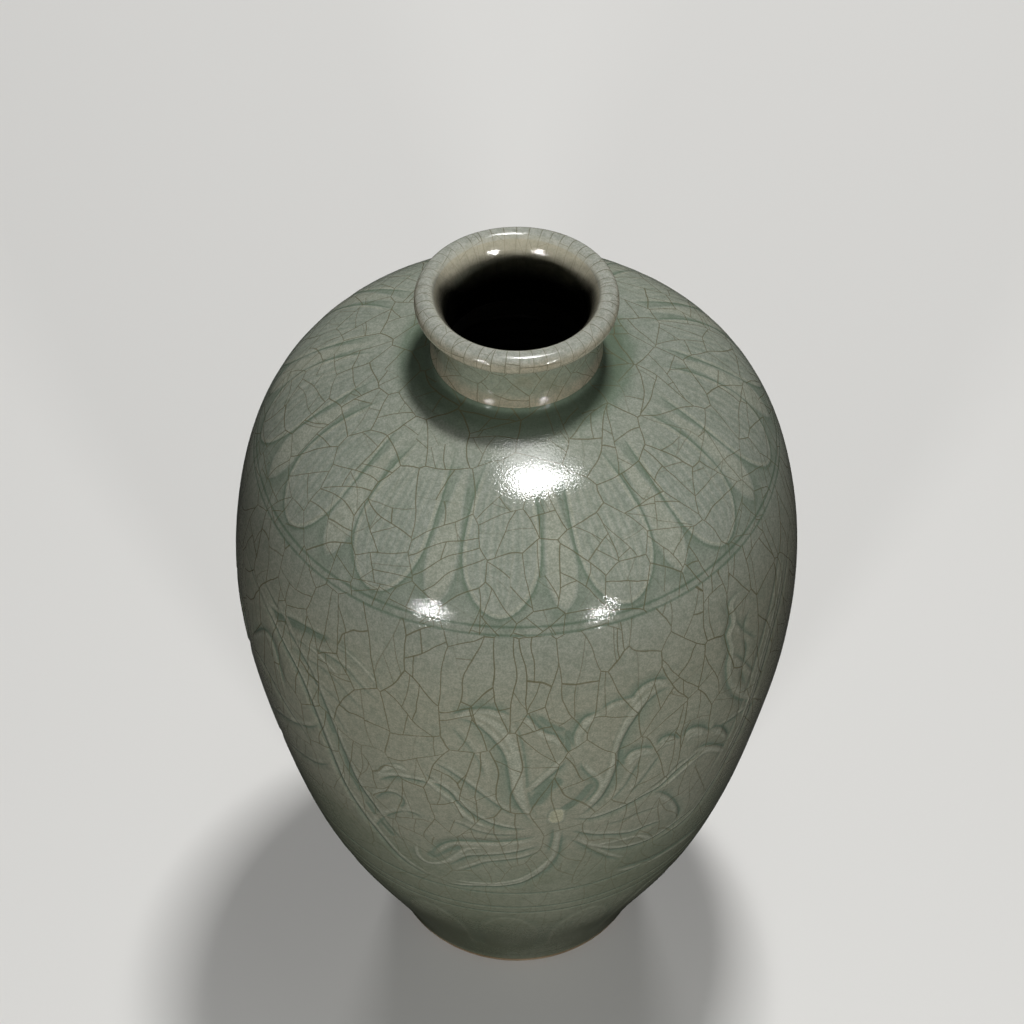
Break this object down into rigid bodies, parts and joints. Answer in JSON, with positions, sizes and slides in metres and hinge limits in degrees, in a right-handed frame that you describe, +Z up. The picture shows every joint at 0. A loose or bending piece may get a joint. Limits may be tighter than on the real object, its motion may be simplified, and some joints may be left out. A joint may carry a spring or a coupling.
{
  "type": "meiping vase",
  "caption": "Tall-shouldered plum vase of thrown stoneware sections, short neck with a rolled lip, carved bands under a crackled grey-green glaze.",
  "frame": {"origin": "centre of the foot ring's resting face, on the axis of the vase", "axes": "+Z up along the axis of the vase; -Y is the front, the side that the picture shows"},
  "size_m": [0.22, 0.22, 0.3411],
  "materials": {
    "stoneware": "bare fired stoneware, brown at the foot",
    "celadon_glaze": "glossy grey-green crackle glaze"
  },
  "bodies": {
    "root": {"foot_ring": "stoneware", "base_disc": "stoneware", "lower_body": "stoneware", "belly_slip": "stoneware", "upper_body": "stoneware", "neck_slip": "stoneware", "neck_collar": "stoneware", "mouth_rim": "stoneware", "body_glaze": "celadon_glaze", "neck_glaze": "celadon_glaze", "inner_glaze": "celadon_glaze", "base_glaze": "celadon_glaze"}
  },
  "joints": []
}
